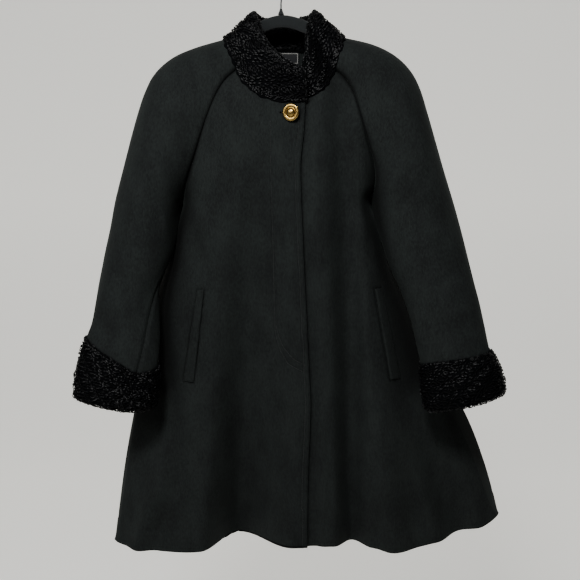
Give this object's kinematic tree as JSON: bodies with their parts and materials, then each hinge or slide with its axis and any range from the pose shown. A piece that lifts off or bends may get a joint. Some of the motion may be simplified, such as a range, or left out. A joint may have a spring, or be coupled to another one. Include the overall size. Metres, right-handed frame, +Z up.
{
  "type": "swing coat on a hanger",
  "caption": "Black wool raglan swing coat hung on a slim hanger, with a curly fur stand collar, wide turned-back fur cuffs, slanted welt pockets and a metal button.",
  "frame": {"origin": "inner crown of the hanger's hook, where a rail carries it", "axes": "+X to the viewer's right of the coat's front, +Y from the front to the back, +Z up"},
  "size_m": [0.752, 0.2518, 1.0129],
  "materials": {
    "wool": "matt brushed wool coating",
    "fur": "curly fur with a soft shine",
    "button_metal": "polished gold colour",
    "label": "plain satin",
    "hanger_velvet": "flocked",
    "hook_steel": "dark polished wire"
  },
  "bodies": {
    "root": {"front_right": "wool", "front_left": "wool", "back": "wool", "sleeve_front_right": "wool", "sleeve_back_right": "wool", "sleeve_front_left": "wool", "sleeve_back_left": "wool", "welt_right": "wool", "welt_left": "wool", "cuff_right": "fur", "cuff_left": "fur", "collar": "fur", "button": "button_metal", "neck_label": "label", "hanger": "hanger_velvet", "ferrule": "hook_steel", "hook": "hook_steel"}
  },
  "joints": []
}
